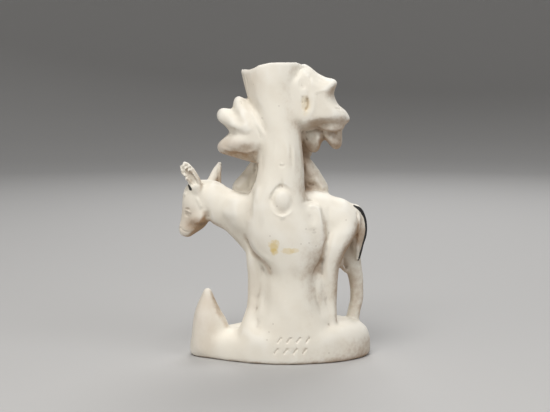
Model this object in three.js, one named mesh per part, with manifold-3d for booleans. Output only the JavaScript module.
// A white bisque spill vase: a donkey standing on a rocky base in front of a hollow tree trunk, with a child
// seated sideways on its back under the leaves. It was cast and fired as one piece, so it is one solid.
// Millimetres, +Z up. The plain back, with the trunk, faces -Y, the child +Y, and the donkey looks to -X.
import * as THREE from 'three';
import { LoftGeometry } from 'three/addons/geometries/LoftGeometry.js';
import { mergeVertices } from 'three/addons/utils/BufferGeometryUtils.js';
import Module from 'manifold-3d';

const wasm = await Module();
wasm.setup();

// Driving dimensions
const HEIGHT = 200; // floor to the highest point of the rim
const BASE_LEFT = -58; // reach of the base under the donkey's head
const BASE_RIGHT = 65.5; // reach of the base behind the donkey's tail
const BASE_DEPTH = 31; // from the middle of the base to its front or its back edge
const GROUND = 24.5; // top of the base, where the hooves stand
const HOLLOW_GROUND = 17.5; // the lower ground between the forelegs and the pointed rock
const BACK = 110.5; // height of the donkey's back
const WALL = 2.8; // thickness of the vase at its rim
const VASE_FLOOR = 84; // bottom of the hollow in the trunk
const CHILD_X = 4.4; // the child sits in front of the middle of the trunk

const LEFT = new THREE.Vector3(-1, 0, 0);
const FRONT = new THREE.Vector3(0, 1, 0);
const UP = new THREE.Vector3(0, 0, 1);
const { degToRad, smoothstep } = THREE.MathUtils;

// Solids

// A closed geometry as a solid that can be joined and cut.
function solidOf(geometry) {
  const bare = new THREE.BufferGeometry().setAttribute('position', geometry.attributes.position);
  const merged = mergeVertices(bare.setIndex(geometry.index), 1e-4);
  return new wasm.Manifold(new wasm.Mesh({
    numProp: 3,
    vertProperties: merged.attributes.position.array,
    triVerts: new Uint32Array(merged.index.array),
  }));
}

const loft = (sections) => solidOf(new LoftGeometry(sections, { capStart: true, capEnd: true }));
const join = (solids) => solids.reduce((whole, solid) => whole.add(solid));

// The points of a unit oval. A power above 2 makes it squarer.
function oval(sides, power) {
  const bend = (value) => Math.sign(value) * Math.abs(value) ** (2 / power);
  return Array.from({ length: sides }, (_, i) => {
    const angle = (2 * Math.PI * (i + 0.5)) / sides;
    return { angle, a: bend(Math.cos(angle)), b: bend(Math.sin(angle)) };
  });
}

// The two directions across each axis, in the order that turns faces outwards.
const ACROSS = { x: ['y', 'z'], y: ['z', 'x'], z: ['x', 'y'] };
const DOME_STEPS = [0.6, 0.92];
const domeShrink = (share) => Math.sqrt(1 - share * share);

// A body of oval sections cut square to one axis. Each station is its place on that axis and the section's
// low and high limits in the other two directions. A dome rounds an end off by that many millimetres.
function slices(axis, stations, { sides = 12, step = 8, power = 2, domes = [0, 0], shift } = {}) {
  const [first, second] = ACROSS[axis];
  const at = stations.map((station) => station[0]);
  const limits = new THREE.CubicInterpolant(at, stations.flatMap((station) => station.slice(1)), 4);
  const ring = (place, shrink, offset = 0) => {
    const [low1, high1, low2, high2] = limits.evaluate(place);
    return oval(sides, power).map(({ angle, a, b }) => {
      const point = new THREE.Vector3();
      point[axis] = place + offset;
      point[first] = (low1 + high1) / 2 + (a * shrink * (high1 - low1)) / 2;
      point[second] = (low2 + high2) / 2 + (b * shrink * (high2 - low2)) / 2;
      return shift ? shift(point, angle) : point;
    });
  };
  const [start, end] = [at[0], at.at(-1)];
  const count = Math.max(2, Math.round((end - start) / step));
  const rings = Array.from({ length: count + 1 }, (_, i) => ring(start + ((end - start) * i) / count, 1));
  const dome = (place, length) => (length ? DOME_STEPS : []).map((share) =>
    ring(place, domeShrink(share), share * length));
  return loft([...dome(start, -domes[0]).reverse(), ...rings, ...dome(end, domes[1])]);
}

// A round-ended body of oval sections along a smooth line. Each station is x, y, z, the section's half width
// towards side, and its half width square to that. Pleats deepen along the line, as in a hanging skirt.
function limb(stations, { sides = 8, steps = 2, side = FRONT, pleat = 0 } = {}) {
  const line = new THREE.CatmullRomCurve3(stations.map(([x, y, z]) => new THREE.Vector3(x, y, z)));
  const size = new THREE.CatmullRomCurve3(stations.map(([, , , a, b = a]) => new THREE.Vector3(a, b, 0)));
  const ring = (t, shrink = 1, offset = 0) => {
    const tangent = line.getTangent(t);
    const across = side.clone().addScaledVector(tangent, -side.dot(tangent)).normalize();
    const other = new THREE.Vector3().crossVectors(tangent, across);
    const half = size.getPoint(t);
    const centre = line.getPoint(t).addScaledVector(tangent, offset * Math.min(half.x, half.y));
    return oval(sides, 2).map(({ a, b }, i) => {
      const reach = shrink * (1 + pleat * t * (i % 2 ? 1 : -1));
      return centre.clone()
        .addScaledVector(across, a * reach * half.x)
        .addScaledVector(other, b * reach * half.y);
    });
  };
  const count = steps * (stations.length - 1);
  const rings = Array.from({ length: count + 1 }, (_, i) => ring(i / count));
  const dome = (t, way) => DOME_STEPS.map((share) => ring(t, domeShrink(share), way * share));
  return loft([...dome(0, -1).reverse(), ...rings, ...dome(1, 1)]);
}

function ball(x, y, z, wide, deep = wide, tall = wide, detail = 8) {
  const geometry = new THREE.SphereGeometry(1, detail, Math.round(detail * 0.7));
  return solidOf(geometry.scale(wide, deep, tall).translate(x, y, z));
}

// Depth and size of the sections of a leaf mass, as shares of its half thickness and of its outline.
const LEAF_SECTIONS = [[-1, 0.3], [-0.8, 0.66], [-0.35, 0.95], [0.1, 1], [0.6, 0.8], [1, 0.36]];

// A thick mass of leaves with a lobed outline, swelling towards a heart that every point of the outline can
// see. Its outline is x and z, clockwise as seen from the back, and it lies across the depth y. Its back can
// be flatter than its front.
function leafMass(outline, [heartX, heartZ], { y, thick, flatBack = 0 }) {
  return loft(LEAF_SECTIONS.map(([depth, share]) => {
    const size = depth < 0 ? share + (1 - share) * flatBack : share;
    return outline.map(([x, z]) => new THREE.Vector3(
      heartX + (x - heartX) * size,
      y + depth * thick,
      heartZ + (z - heartZ) * size,
    ));
  }));
}

// Base

// Plan of the base: a long oval with a corner at the donkey's nose, blunter at the tail.
const basePlan = new THREE.CatmullRomCurve3([
  [BASE_RIGHT, 5], [58, 19], [40, 27], [12, BASE_DEPTH], [-22, 29], [-45, 20], [BASE_LEFT, 6],
  [BASE_LEFT + 1, -4], [-46, -12], [-30, -21], [-10, -29.5], [14, -BASE_DEPTH], [40, -25], [59, -11],
].map(([x, y]) => new THREE.Vector3(x, y, 0)), true);

function base() {
  const middle = new THREE.Vector3(4, 0, 0);
  const sides = 36;
  const plan = basePlan.getPoints(sides).slice(0, sides);
  const profile = [[0, 0.985], [1.2, 1], [12, 1], [18, 0.97], [22, 0.9], [GROUND, 0.77], [GROUND, 0.4]];
  const sink = 1 - HOLLOW_GROUND / GROUND;
  return loft(profile.map(([z, share]) => plan.map((point) => {
    const place = point.clone().sub(middle).multiplyScalar(share).add(middle);
    return place.setZ(z * (1 - sink * smoothstep(-place.x, 8, 26)));
  })));
}

// The pointed rock before the donkey's nose.
function spike() {
  return slices('z', [
    [4, BASE_LEFT, -28, -12.8, 15],
    [14, BASE_LEFT + 0.4, -29.6, -12, 13.6],
    [23, -56.6, -32.4, -10.6, 11.4],
    [31, -55, -37.4, -8.8, 8.6],
    [38, -52.6, -40.6, -6, 6.5],
    [43.5, -49.4, -43, -4, 4],
  ], { sides: 12, step: 7, power: 2.3, domes: [0, 3.2] });
}

// Tree trunk

// How far the rim stands above or below its mean, by direction: it is highest at the back, dips at the
// back's left corner, and falls away to the leaf at the right.
const RIM_MEAN = 195;
const rimByAngle = new THREE.CubicInterpolant(
  [-20, 20, 60, 100, 135, 162, 185, 208, 222, 238, 255, 290, 312, 326, 340, 380].map(degToRad),
  [-5, -6, -4.5, -4, -2.5, 1, 0, -1.5, -1.3, 2.5, 4.2, HEIGHT - RIM_MEAN, 4.8, 4.4, 2, -6],
  1,
);
const WAVE_FROM = 172; // the height from which the wall starts to follow the rim's waves

function followRim(point, angle) {
  const share = smoothstep(point.z, WAVE_FROM, RIM_MEAN);
  point.z += share * rimByAngle.evaluate(angle)[0];
  return point;
}

// Height, then left and right, back and front. The trunk swells where it meets the donkey's belly.
const TRUNK = [
  [6, -22, 42, -30.8, 8],
  [14, -20.6, 41, -30.8, 8],
  [22, -16.4, 38, -30.4, 7],
  [30, -11.4, 33.2, -29.6, 6],
  [40, -8, 29.4, -28.6, 4],
  [50, -6.8, 28, -27.8, 3],
  [59, -5.6, 28.4, -27.8, 2],
  [66, -9, 30.5, -28.6, 2],
  [74, -15, 33.5, -29.6, 2],
  [84, -19.4, 33.6, -30.2, 2],
  [94, -20.4, 30, -30, 2],
  [102, -20.4, 25, -29.4, 2],
  [108, -19.6, 21.6, -28.8, 2],
  [114, -16.6, 20.2, -28, 2],
  [122, -13, 19.6, -26.8, 2],
  [132, -11.4, 18.9, -25.4, 3],
  [143, -10.8, 18.2, -24.2, 4],
  [155, -12, 17, -23, 6.5],
  [166, -14.6, 16.6, -22, 9.5],
  [176, -18.4, 17.4, -21.4, 13],
  [186, -21, 19.2, -21, 16],
  [RIM_MEAN, -23.2, 21.4, -20.6, 18.4],
];

function trunk() {
  return slices('z', TRUNK, { sides: 20, step: 9, power: 2.2, shift: followRim });
}

// The hollow of the vase, which runs out through the rim.
function hollow() {
  const thickening = 0.09; // of the wall, for each millimetre further down
  const neck = 150; // below this height the wall gets thicker
  const inside = TRUNK.filter(([z]) => z > VASE_FLOOR + 10).map(([z, left, right, back, front]) => {
    const wall = WALL + Math.max(0, neck - z) * thickening;
    return [z, left + wall, right - wall, back + wall, front - wall];
  });
  const [, left, right, back, front] = inside[0];
  const bottom = [VASE_FLOOR, left + 9, right - 9, back + 5, front - 5];
  const [, ...mouth] = inside.at(-1);
  const over = [HEIGHT + 8, ...mouth.map((edge, i) => edge + (i % 2 ? 1.5 : -1.5))];
  return slices('z', [bottom, ...inside.slice(1), over], { sides: 16, step: 16, power: 2.3, domes: [4, 0] });
}

// The scar of a lopped branch: a round boss in a pointed, eye-shaped hollow.
const KNOT = { x: 4.6, y: -28.6, z: 108.6, wide: 6.4, tall: 8.4, deep: 2 };

function knotHollow() {
  const [side, top, bottom] = [KNOT.wide * 2.4, 11.8, -9.4];
  const outline = new THREE.Shape();
  outline.moveTo(0, top);
  outline.quadraticCurveTo(side, 1, 0, bottom);
  outline.quadraticCurveTo(-side, 1, 0, top);
  const cut = new THREE.ExtrudeGeometry(outline, { depth: 8, bevelEnabled: false, curveSegments: 6 });
  cut.rotateX(Math.PI / 2).rotateX(degToRad(-6)).translate(KNOT.x, KNOT.y + KNOT.deep, KNOT.z);
  return solidOf(cut);
}

function knotBoss() {
  return ball(KNOT.x, KNOT.y + KNOT.deep, KNOT.z, KNOT.wide, 2.9, KNOT.tall, 12);
}

// Leaves

const LEFT_LEAVES = [
  [-24.4, 177.8], [-20, 175.6], [-9, 172], [-1, 160], [0, 146], [-5, 134], [-13, 132], [-21.6, 134.3],
  [-28.3, 136.3], [-38, 139.6], [-39.3, 143], [-38.2, 146], [-34, 150], [-30.7, 153], [-33.6, 157.2],
  [-38.6, 161.8], [-39.3, 164.8], [-38, 168.2], [-35.2, 169.5], [-28.8, 168.6], [-28.4, 172], [-27.4, 176.2],
];
const LEFT_HEART = [-12, 151];

const RIGHT_LEAVES = [
  [18, 199.6], [22.9, 197.3], [28.8, 192.3], [34.8, 189.2], [39, 188.8], [41.8, 186.4], [40.2, 182.6],
  [39.5, 178.3], [42.3, 172], [47.7, 167.4], [50.5, 162.4], [49.6, 159.4], [46, 157.8], [40, 157.4],
  [33.6, 157.6], [26.9, 156], [18.8, 153.6], [8, 158], [3, 175], [8, 192],
];
const RIGHT_HEART = [20, 174];

const LOWER_LEAVES = [
  [12, 168], [30, 170], [44, 166], [46.4, 158], [45.4, 152], [45.8, 145.8], [44.4, 142], [41.6, 140.8],
  [38.8, 142], [36.8, 144.6], [33.6, 148.2], [31.2, 145.6], [29.6, 140.4], [27, 138.5], [23.8, 139],
  [21, 141.6], [18, 145.4], [10, 150],
];
const LOWER_HEART = [30, 158];

function leaves() {
  return join([
    leafMass(LEFT_LEAVES, LEFT_HEART, { y: -3, thick: 17 }),
    leafMass(RIGHT_LEAVES, RIGHT_HEART, { y: -2, thick: 16.4, flatBack: 0.5 }),
    leafMass(LOWER_LEAVES, LOWER_HEART, { y: 2, thick: 9 }),
  ]);
}

// The flap beside the trunk's right shoulder, square at its top corner.
function flap() {
  return slices('z', [
    [70, 10, 32.6, -24, -8],
    [82, 10, 34.6, -25.4, -8],
    [93, 10, 33.4, -24.4, -8],
    [104.4, 10, 30.6, -22, -8],
  ], { sides: 12, step: 12, power: 3, domes: [0, 2] });
}

// The slit between the trunk and the leaf at the right.
const leafSlit = () => ball(20, -18.8, 172.4, 2, 2.6, 5.2);

// Leaves that hang over the front of the vase, above the child.
function frontLeaves() {
  const hanging = (top, tip, wide) => limb([
    [top * 0.55, 11, 187, 3, wide * 0.7],
    [top, 17, 177, 3.6, wide],
    [(top + tip) / 2, 18, 168, 2.8, wide * 0.75],
    [tip, 16.6, 161.6, 1.8, wide * 0.26],
  ]);
  return join([hanging(1, 3, 7.6), hanging(-11, -15, 6.6), hanging(13, 19, 6.6)]);
}

// Donkey

function donkeyBody() {
  return slices('x', [
    [-50, -5.5, 9, 98, 118],
    [-43, -7.6, 10, 90.8, 120],
    [-35, -9, 11.6, 86.6, 116.6],
    [-28, -11, 13, 81.2, 113],
    [-21, -13.6, 15, 70.5, BACK + 0.8],
    [-12, -15, 17, 66.5, BACK],
    [2, -15.6, 18.4, 66, BACK],
    [18, -16, 18.8, 66.5, BACK],
    [32, -16.6, 18.6, 68.5, BACK],
    [42, -15.6, 17.6, 72, BACK - 1.4],
    [50, -12.4, 15, 77, BACK - 4.2],
    [55, -8, 11, 83, BACK - 9],
  ], { sides: 14, step: 8, power: 2.15, domes: [4, 3.4] });
}

// Each station is a height, then left and right, back and front.
const leg = (stations) => slices('z', stations, { sides: 9, step: 8, power: 2.1, domes: [0, 4] });

function legs() {
  const nearHind = leg([
    [12, 32.6, 43, -20, -3],
    [26, 33.4, 42.4, -18, -5],
    [31, 32.6, 41.4, -16.4, -6],
    [40, 30.8, 42, -16.6, -5.6],
    [50, 30.2, 42.2, -17.4, -4.4],
    [58, 29.6, 42.4, -18.6, -2.4],
    [66, 29, 44.4, -19.6, 0],
    [76, 29, 49.8, -20.2, 1],
    [86, 31, 55, -18.6, 2],
    [95, 35, 54.8, -14.4, 2],
  ]);
  const farHind = leg([
    [12, 48, 58.6, 6, 16.6],
    [25.5, 48.8, 58.4, 7, 16],
    [30, 51, 60, 8, 15.4],
    [36, 52, 61, 8, 15.4],
    [44, 51.6, 61.2, 7.8, 15.6],
    [53.6, 49.8, 61.4, 7, 16.2],
    [62, 46.4, 59.6, 5.6, 17.4],
    [68, 41.6, 59, 3.4, 18.8],
    [80, 41, 59.4, 4, 19.4],
    [92, 40, 56, 3, 17],
  ]);
  const nearFore = leg([
    [12, -27.4, -3, -27, 2],
    [20, -25.6, -3, -25, 1.4],
    [27, -22.4, -3, -20.4, 0.8],
    [34, -19.8, -3, -16, 0.4],
    [40, -18.8, -3, -13.8, 0],
    [48, -18.6, -3, -13.8, 0.4],
    [62, -19.2, -2.8, -14.7, 1.2],
    [70, -20, -2, -15.2, 2],
    [82, -21, 0, -13.4, 2],
  ]);
  const farFore = leg([
    [12, -17, -5.4, 4.6, 15.6],
    [25.5, -16.4, -5.8, 5, 15],
    [30, -15, -6.8, 6.2, 14],
    [38, -14.8, -6.8, 6, 14],
    [45, -15.6, -6, 5.4, 14.6],
    [51, -16, -5.6, 5, 15],
    [58, -16.6, -4.6, 5, 15.6],
    [68, -18.6, -1.6, 4, 17.4],
    [84, -19.4, 2, 3, 17],
  ]);
  return join([nearHind, farHind, nearFore, farFore, webs()]);
}

// Thin walls of clay behind the creases beside the trunk's foot and between the hocks, left by the mould.
function webs() {
  const web = (stations) => slices('z', stations, { sides: 6, step: 30 });
  return join([
    web([[18, 20, 38, -18, 0], [45, 20, 36, -18, 0], [72, 20, 36, -19, 0]]),
    web([[18, -14, 6, -12, -1], [45, -14, 6, -12, -1], [72, -14, 6, -12, -1]]),
    web([[60.4, 41, 46.8, -4, 6], [68, 41, 47, -4, 6]]),
  ]);
}

// The clay between the neck and the trunk's swelling, where the back was pressed smooth.
function shoulder() {
  return slices('z', [
    [82, -22, -6, -14, -2],
    [90, -30, -5, -17.4, 0],
    [100, -37, -4, -18, 4],
    [109, -34, -4, -15.6, 4],
  ], { sides: 8, step: 9, domes: [2, 2] });
}

function tail() {
  return limb([
    [49, 3, 103, 3.2, 2.2],
    [55.6, 3.4, 101, 3.6, 2.6],
    [59.6, 4, 94, 3.8, 2.8],
    [60.3, 4.4, 86, 3.8, 2.6],
    [58.6, 5, 76, 3.4, 2.2],
    [57, 5.6, 67, 2.6, 1.6],
  ], { sides: 7 });
}

// The head is modelled on its own axis, from the poll at 0 down to the nose, and then hung from the neck.
const POLL = new THREE.Vector3(-53, 1.4, 112);
const HEAD_TILT = degToRad(17); // the nose swings forward of the poll
const HEAD_TURN = degToRad(14); // and a little towards the front of the group

function hang(solid) {
  const place = new THREE.Matrix4().makeRotationZ(-HEAD_TURN)
    .multiply(new THREE.Matrix4().makeRotationY(HEAD_TILT)).setPosition(POLL);
  return solid.transform(place.elements);
}

function head() {
  const skull = slices('z', [
    [-30.2, -4.4, 4.4, -3.6, 3.6],
    [-27.8, -5.6, 6.8, -5, 5],
    [-24.4, -5.6, 9.2, -5, 5],
    [-20.4, -6, 12.2, -5.4, 5.4],
    [-16, -6.6, 13.6, -6.4, 6.4],
    [-10, -7.9, 12.8, -7.6, 7.6],
    [-2, -9.2, 10.4, -7.2, 7.2],
    [3, -8, 9, -6.2, 6.2],
  ], { sides: 12, step: 4.2, power: 2.1, domes: [1.6, 3.6] });
  const cheek = (way) => ball(6, way * 3.6, -14.5, 6.4, 4, 7.4);
  return hang(join([skull, cheek(1), cheek(-1)]));
}

// An ear is a blunt leaf with a long hollow in it. Each station is x, y, z, half width and half thickness.
function ear(stations, side, hollowAt) {
  const outside = limb(stations, { side });
  const inside = limb(stations.slice(1).map(([x, y, z, wide, thick]) => [
    x + hollowAt.x, y + hollowAt.y, z + hollowAt.z, wide * 0.55, thick * 0.6,
  ]), { sides: 6, side });
  return outside.subtract(inside);
}

function ears() {
  const near = ear([
    [-51.6, -3, 112, 4, 3],
    [-54, -4.4, 119, 4.6, 2.8],
    [-57.4, -5.6, 126, 4.4, 2.5],
    [-60.2, -6.4, 131.2, 2.8, 1.7],
  ], new THREE.Vector3(0.85, 0.25, 0.45).normalize(), new THREE.Vector3(-0.9, -2.2, -0.4));
  const far = ear([
    [-46, 4.4, 113, 4.6, 3.2],
    [-42.4, 7, 120, 3.8, 2.7],
    [-39.8, 9.4, 126.4, 2.8, 2.1],
    [-37.8, 11.4, 131, 1.5, 1.1],
  ], new THREE.Vector3(0.9, 0.4, -0.3).normalize(), new THREE.Vector3(1.4, 1, -0.4));
  return join([near, far]);
}

// The tuft between the ears and the upright mane along the crest of the neck.
function mane() {
  return limb([
    [-60.6, 0.8, 110, 2.4, 2.2],
    [-58, 1.2, 115, 2.6, 2],
    [-51, 1.8, 118.6, 2.2, 2],
    [-40, 2.4, 118, 1.8, 1.8],
    [-30, 2.6, 112.6, 1.8, 1.8],
    [-22, 2.6, 109.6, 1.6, 1.6],
  ], { sides: 7, steps: 2 });
}

// Cloth under the rider, thrown over the donkey's back.
function saddleCloth() {
  return slices('x', [
    [-19, -13, 18.6, 86, BACK + 1],
    [0, -14, 20.2, 86, BACK + 2.4],
    [20, -14.4, 20.4, 86, BACK + 3],
    [32, -14.4, 20, 86, BACK + 2.6],
    [38, -13, 18.8, 88, BACK + 0.2],
  ], { sides: 12, step: 12, power: 2.3, domes: [0.8, 1.4] });
}

// Child

const SEAT = BACK + 1.5;

function childTrunk() {
  return slices('z', [
    [SEAT - 6, CHILD_X - 12, CHILD_X + 12, 2, 22],
    [SEAT + 1, CHILD_X - 11.4, CHILD_X + 11.4, 2, 20.6],
    [SEAT + 8, CHILD_X - 9.4, CHILD_X + 9.4, 2.6, 17.6],
    [SEAT + 15, CHILD_X - 9.6, CHILD_X + 9.6, 2.4, 17.4],
    [SEAT + 22, CHILD_X - 10.4, CHILD_X + 10.4, 3, 16.6],
    [SEAT + 27, CHILD_X - 6.4, CHILD_X + 6.4, 4.6, 14.6],
  ], { sides: 12, step: 8, domes: [0, 2.4] });
}

function childHead() {
  const z = SEAT + 37;
  return join([
    ball(CHILD_X, 10.8, z + 1, 7, 7.4, 7.2, 9),
    ball(CHILD_X, 11.6, z - 3, 5.8, 6.4, 6.2),
    ball(CHILD_X, 17.4, z - 1.2, 1.2, 1.6, 1.5, 6),
    limb([[CHILD_X, 9.4, z - 13, 4, 4], [CHILD_X, 10, z - 6, 3.4, 3.4]], { steps: 1 }),
  ]);
}

// A round felt hat, worn on the back of the head.
function hat() {
  const profile = [[0, -1.6], [8, -1.6], [11.4, -0.4], [11.6, 0.6], [8, 1.2], [7.2, 5], [4, 7.8], [0, 8.6]];
  const lathe = new THREE.LatheGeometry(profile.map(([r, h]) => new THREE.Vector2(r, h)), 12);
  lathe.rotateX(Math.PI / 2).rotateX(degToRad(14));
  return solidOf(lathe.translate(CHILD_X, 9.2, SEAT + 43.6));
}

// A wide sleeve, with the hand on the donkey's back in front of its opening. way is 1 for the arm towards the
// tail and -1 for the one towards the head, reach is how far out the opening lies, and full its half width.
function childArm(way, reach, full) {
  const across = (distance) => CHILD_X + way * distance;
  const sleeve = limb([
    [across(7.6), 9.4, SEAT + 24, 4.6, 6],
    [across(13.6), 9.6, SEAT + 18.6, 5.2, 7.2],
    [across(19.6), 10.4, SEAT + 10, 5.6, 7.8],
    [across(reach), 11.4, SEAT + 0.2, 5.8, full],
  ], { sides: 10 });
  const hand = limb([
    [across(reach - 1.8), 13, SEAT + 1.6, 3, 3],
    [across(reach - 0.8), 19.6, SEAT - 0.6, 2.2, 3],
  ], { steps: 1, side: UP });
  return join([sleeve, hand]);
}

// The smock lies over the lap and hangs from the knees.
function smock() {
  return limb([
    [CHILD_X, 8, SEAT - 2, 11.6, 7],
    [CHILD_X, 17, SEAT - 2, 12.4, 6.4],
    [CHILD_X, 23.4, SEAT - 4.6, 12.8, 5.2],
    [CHILD_X, 25, SEAT - 13, 13.2, 4],
    [CHILD_X, 25, SEAT - 19, 13.8, 3.2],
  ], { sides: 14, steps: 2, side: LEFT, pleat: 0.07 });
}

function childLeg(way) {
  const across = (distance) => CHILD_X + way * distance;
  const shin = limb([
    [across(6), 22.6, SEAT - 14, 4, 4],
    [across(6.4), 21, SEAT - 34, 2.8, 2.9],
  ], { steps: 2 });
  const shoe = limb([
    [across(6.4), 20, SEAT - 36, 3, 3.2],
    [across(6.8), 24, SEAT - 37.6, 2.9, 3.1],
    [across(7.4), 28, SEAT - 38.6, 2.6, 2],
  ], { steps: 1, side: LEFT });
  return join([shin, shoe]);
}

const child = () => join([
  childTrunk(), childHead(), hat(), childArm(1, 26, 7.2), childArm(-1, 27.3, 8.4), smock(), childLeg(1),
  childLeg(-1),
]);

// The whole figurine

const bisque = new THREE.MeshStandardMaterial({ color: 0xe9e2d4, roughness: 0.62, metalness: 0 });

function figurine() {
  const tree = join([trunk(), flap(), leaves(), frontLeaves()]).subtract(leafSlit());
  const donkey = join([donkeyBody(), shoulder(), legs(), tail(), head(), ears(), mane(), saddleCloth()]);
  const whole = join([base(), spike(), tree, donkey, child()]);
  return whole.subtract(knotHollow()).add(knotBoss()).subtract(hollow());
}

// The solid as a mesh geometry, moved so that the origin is under the middle of its bounding box.
function geometryOf(solid) {
  const { numProp, vertProperties, triVerts } = solid.getMesh();
  const positions = Float32Array.from(
    { length: (vertProperties.length / numProp) * 3 },
    (_, i) => vertProperties[Math.floor(i / 3) * numProp + (i % 3)],
  );
  const geometry = new THREE.BufferGeometry()
    .setAttribute('position', new THREE.BufferAttribute(positions, 3))
    .setIndex(new THREE.BufferAttribute(triVerts, 1));
  geometry.computeBoundingBox();
  const middle = geometry.boundingBox.getCenter(new THREE.Vector3());
  return geometry.translate(-middle.x, -middle.y, -geometry.boundingBox.min.z);
}

const figure = new THREE.Mesh(geometryOf(figurine()), bisque);
figure.name = 'bisque_figurine';

const group = new THREE.Group();
group.add(figure);

export default group;
